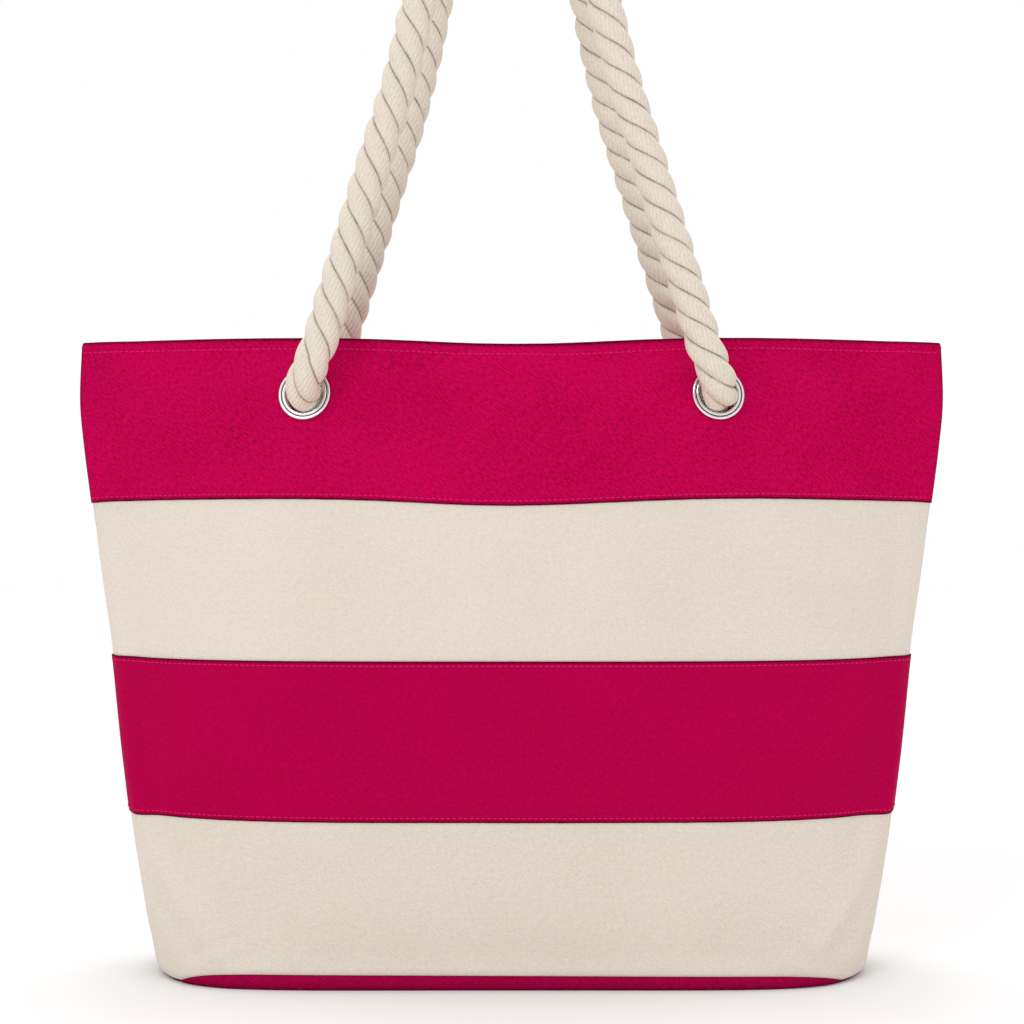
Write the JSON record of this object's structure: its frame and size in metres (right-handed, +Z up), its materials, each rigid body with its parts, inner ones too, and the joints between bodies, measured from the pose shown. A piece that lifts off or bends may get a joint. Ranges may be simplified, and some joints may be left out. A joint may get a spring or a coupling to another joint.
{
  "type": "tote bag",
  "caption": "Striped canvas beach tote with an open mouth, boxed base and rope handles held by metal eyelets.",
  "frame": {"origin": "middle of the base, on the surface that the bag stands on", "axes": "+Z up through the mouth, -Y out of the front panel, +X to the viewer's right"},
  "size_m": [0.4994, 0.136, 0.6299],
  "materials": {
    "pink_canvas": "woven cotton canvas dyed crimson pink",
    "cream_canvas": "woven natural cotton canvas",
    "base_canvas": "woven cotton canvas dyed dark crimson",
    "lining_cotton": "plain natural cotton lining",
    "cotton_rope": "three-strand natural cotton rope",
    "whipping_thread": "waxed cotton thread",
    "eyelet_metal": "polished nickel plate",
    "stiffener_board": "pressed fibre board"
  },
  "bodies": {
    "bag": {"back_facing": "pink_canvas", "back_left_eyelet": "eyelet_metal", "back_left_eyelet_washer": "eyelet_metal", "back_left_knot": "cotton_rope", "back_left_rope_whipping": "whipping_thread", "back_lining": "lining_cotton", "back_lower_cream_band": "cream_canvas", "back_middle_band": "pink_canvas", "back_right_eyelet": "eyelet_metal", "back_right_eyelet_washer": "eyelet_metal", "back_right_knot": "cotton_rope", "back_right_rope_whipping": "whipping_thread", "back_top_band": "pink_canvas", "back_upper_cream_band": "cream_canvas", "base_board": "stiffener_board", "base_lining": "lining_cotton", "base_panel": "base_canvas", "front_facing": "pink_canvas", "front_left_eyelet": "eyelet_metal", "front_left_eyelet_washer": "eyelet_metal", "front_left_knot": "cotton_rope", "front_left_rope_whipping": "whipping_thread", "front_lining": "lining_cotton", "front_lower_cream_band": "cream_canvas", "front_middle_band": "pink_canvas", "front_right_eyelet": "eyelet_metal", "front_right_eyelet_washer": "eyelet_metal", "front_right_knot": "cotton_rope", "front_right_rope_whipping": "whipping_thread", "front_top_band": "pink_canvas", "front_upper_cream_band": "cream_canvas", "slip_pocket": "lining_cotton", "snap_socket": "eyelet_metal", "snap_socket_plate": "eyelet_metal", "snap_stud": "eyelet_metal", "snap_stud_plate": "eyelet_metal"},
    "front_handle": {"front_rope_handle": "cotton_rope"},
    "back_handle": {"back_rope_handle": "cotton_rope"}
  },
  "joints": [
    {"name": "front_handle_swing", "type": "hinge", "parent": "bag", "child": "front_handle", "pos_m": [0, -0.057, 0.335], "axis": [1, 0, 0], "range_deg": [-8, 165]},
    {"name": "back_handle_swing", "type": "hinge", "parent": "bag", "child": "back_handle", "pos_m": [0, 0.057, 0.335], "axis": [-1, 0, 0], "range_deg": [-8, 165]}
  ]
}
